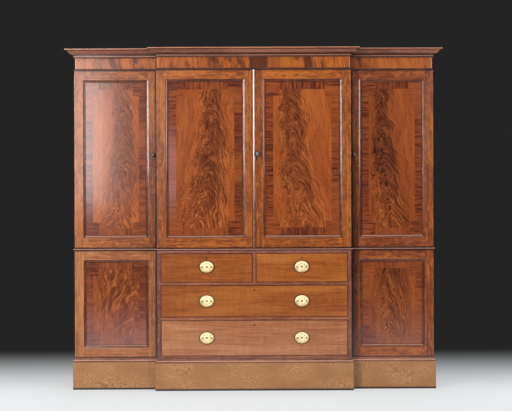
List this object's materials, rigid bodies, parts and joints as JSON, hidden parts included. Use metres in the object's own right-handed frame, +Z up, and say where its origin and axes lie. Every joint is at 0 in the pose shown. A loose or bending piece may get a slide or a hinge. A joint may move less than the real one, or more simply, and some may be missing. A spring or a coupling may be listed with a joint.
{
  "type": "breakfront linen press",
  "caption": "Mahogany breakfront linen press with crossbanded panelled doors, drawers with oval brass handles, side cupboards, a moulded cornice and a plinth.",
  "frame": {"origin": "on the floor, in the middle of the outline's box", "axes": "+Z up, +X to the right as seen from the front, the front faces -Y"},
  "size_m": [2.352, 0.65, 2.125],
  "materials": {
    "mahogany": "waxed polish",
    "flame_veneer": "waxed polish",
    "secondary_wood": "bare, planed",
    "brass": "polished"
  },
  "bodies": {
    "carcase": {"plinth_boards": "mahogany", "base_moulding": "mahogany", "lower_carcase_boards": "mahogany", "drawer_dividers": "mahogany", "drawer_runners": "secondary_wood", "upper_carcase_boards": "mahogany", "back_boards": "secondary_wood", "waist_moulding": "mahogany", "shelves_and_bearers": "secondary_wood", "linen_trays": "secondary_wood", "frieze_boards": "mahogany", "frieze_bead": "mahogany", "cornice_moulding": "mahogany", "carcase_hinge_leaves": "brass"},
    "left_centre_door": {"left_centre_door_frame": "mahogany", "left_centre_door_panel": "flame_veneer", "left_centre_door_fittings": "brass"},
    "right_centre_door": {"right_centre_door_frame": "mahogany", "right_centre_door_panel": "flame_veneer", "right_centre_door_fittings": "brass"},
    "left_upper_door": {"left_upper_door_frame": "mahogany", "left_upper_door_panel": "flame_veneer", "left_upper_door_fittings": "brass"},
    "right_upper_door": {"right_upper_door_frame": "mahogany", "right_upper_door_panel": "flame_veneer", "right_upper_door_fittings": "brass"},
    "left_lower_door": {"left_lower_door_frame": "mahogany", "left_lower_door_panel": "flame_veneer", "left_lower_door_fittings": "brass"},
    "right_lower_door": {"right_lower_door_frame": "mahogany", "right_lower_door_panel": "flame_veneer", "right_lower_door_fittings": "brass"},
    "right_centre_door_bolt": {"right_centre_door_bolt": "brass"},
    "left_upper_door_bolt": {"left_upper_door_bolt": "brass"},
    "right_upper_door_bolt": {"right_upper_door_bolt": "brass"},
    "bottom_drawer": {"bottom_drawer_front": "mahogany", "bottom_drawer_box": "secondary_wood", "bottom_drawer_brasses": "brass"},
    "bottom_drawer_bolt": {"bottom_drawer_bolt": "brass"},
    "bottom_drawer_left_bail": {"bottom_drawer_left_bail": "brass"},
    "bottom_drawer_right_bail": {"bottom_drawer_right_bail": "brass"},
    "middle_drawer": {"middle_drawer_front": "mahogany", "middle_drawer_box": "secondary_wood", "middle_drawer_brasses": "brass"},
    "middle_drawer_bolt": {"middle_drawer_bolt": "brass"},
    "middle_drawer_left_bail": {"middle_drawer_left_bail": "brass"},
    "middle_drawer_right_bail": {"middle_drawer_right_bail": "brass"},
    "left_short_drawer": {"left_short_drawer_front": "mahogany", "left_short_drawer_box": "secondary_wood", "left_short_drawer_brasses": "brass"},
    "left_short_drawer_bolt": {"left_short_drawer_bolt": "brass"},
    "left_short_drawer_bail": {"left_short_drawer_bail": "brass"},
    "right_short_drawer": {"right_short_drawer_front": "mahogany", "right_short_drawer_box": "secondary_wood", "right_short_drawer_brasses": "brass"},
    "right_short_drawer_bolt": {"right_short_drawer_bolt": "brass"},
    "right_short_drawer_bail": {"right_short_drawer_bail": "brass"}
  },
  "joints": [
    {"name": "left_centre_door_hinge", "type": "hinge", "parent": "carcase", "child": "left_centre_door", "pos_m": [-0.6035, -0.2485, 1.437], "axis": [0, 0, -1], "range_deg": [0, 160]},
    {"name": "right_centre_door_hinge", "type": "hinge", "parent": "carcase", "child": "right_centre_door", "pos_m": [0.6035, -0.2485, 1.437], "axis": [0, 0, 1], "range_deg": [0, 160]},
    {"name": "left_upper_door_hinge", "type": "hinge", "parent": "carcase", "child": "left_upper_door", "pos_m": [-1.123, -0.1725, 1.437], "axis": [0, 0, -1], "range_deg": [0, 160]},
    {"name": "right_upper_door_hinge", "type": "hinge", "parent": "carcase", "child": "right_upper_door", "pos_m": [1.123, -0.1725, 1.437], "axis": [0, 0, 1], "range_deg": [0, 160]},
    {"name": "left_lower_door_hinge", "type": "hinge", "parent": "carcase", "child": "left_lower_door", "pos_m": [-1.123, -0.1725, 0.533], "axis": [0, 0, -1], "range_deg": [0, 160]},
    {"name": "right_lower_door_hinge", "type": "hinge", "parent": "carcase", "child": "right_lower_door", "pos_m": [1.123, -0.1725, 0.533], "axis": [0, 0, 1], "range_deg": [0, 160]},
    {"name": "right_centre_door_bolt_slide", "type": "slide", "parent": "right_centre_door", "child": "right_centre_door_bolt", "axis": [-1, 0, 0], "range_m": [0, 0.009]},
    {"name": "left_upper_door_bolt_slide", "type": "slide", "parent": "left_upper_door", "child": "left_upper_door_bolt", "axis": [1, 0, 0], "range_m": [0, 0.009]},
    {"name": "right_upper_door_bolt_slide", "type": "slide", "parent": "right_upper_door", "child": "right_upper_door_bolt", "axis": [-1, 0, 0], "range_m": [0, 0.009]},
    {"name": "bottom_drawer_slide", "type": "slide", "parent": "carcase", "child": "bottom_drawer", "axis": [0, -1, 0], "range_m": [0, 0.38]},
    {"name": "bottom_drawer_bolt_slide", "type": "slide", "parent": "bottom_drawer", "child": "bottom_drawer_bolt", "axis": [0, 0, 1], "range_m": [0, 0.009]},
    {"name": "bottom_drawer_left_bail_hinge", "type": "hinge", "parent": "bottom_drawer", "child": "bottom_drawer_left_bail", "pos_m": [-0.29475, -0.279, 0.326], "axis": [-1, 0, 0], "range_deg": [0, 85]},
    {"name": "bottom_drawer_right_bail_hinge", "type": "hinge", "parent": "bottom_drawer", "child": "bottom_drawer_right_bail", "pos_m": [0.29475, -0.279, 0.326], "axis": [-1, 0, 0], "range_deg": [0, 85]},
    {"name": "middle_drawer_slide", "type": "slide", "parent": "carcase", "child": "middle_drawer", "axis": [0, -1, 0], "range_m": [0, 0.38]},
    {"name": "middle_drawer_bolt_slide", "type": "slide", "parent": "middle_drawer", "child": "middle_drawer_bolt", "axis": [0, 0, 1], "range_m": [0, 0.009]},
    {"name": "middle_drawer_left_bail_hinge", "type": "hinge", "parent": "middle_drawer", "child": "middle_drawer_left_bail", "pos_m": [-0.29475, -0.279, 0.5545], "axis": [-1, 0, 0], "range_deg": [0, 85]},
    {"name": "middle_drawer_right_bail_hinge", "type": "hinge", "parent": "middle_drawer", "child": "middle_drawer_right_bail", "pos_m": [0.29475, -0.279, 0.5545], "axis": [-1, 0, 0], "range_deg": [0, 85]},
    {"name": "left_short_drawer_slide", "type": "slide", "parent": "carcase", "child": "left_short_drawer", "axis": [0, -1, 0], "range_m": [0, 0.38]},
    {"name": "left_short_drawer_bolt_slide", "type": "slide", "parent": "left_short_drawer", "child": "left_short_drawer_bolt", "axis": [0, 0, 1], "range_m": [0, 0.009]},
    {"name": "left_short_drawer_bail_hinge", "type": "hinge", "parent": "left_short_drawer", "child": "left_short_drawer_bail", "pos_m": [-0.29475, -0.279, 0.767], "axis": [-1, 0, 0], "range_deg": [0, 85]},
    {"name": "right_short_drawer_slide", "type": "slide", "parent": "carcase", "child": "right_short_drawer", "axis": [0, -1, 0], "range_m": [0, 0.38]},
    {"name": "right_short_drawer_bolt_slide", "type": "slide", "parent": "right_short_drawer", "child": "right_short_drawer_bolt", "axis": [0, 0, 1], "range_m": [0, 0.009]},
    {"name": "right_short_drawer_bail_hinge", "type": "hinge", "parent": "right_short_drawer", "child": "right_short_drawer_bail", "pos_m": [0.29475, -0.279, 0.767], "axis": [-1, 0, 0], "range_deg": [0, 85]}
  ]
}
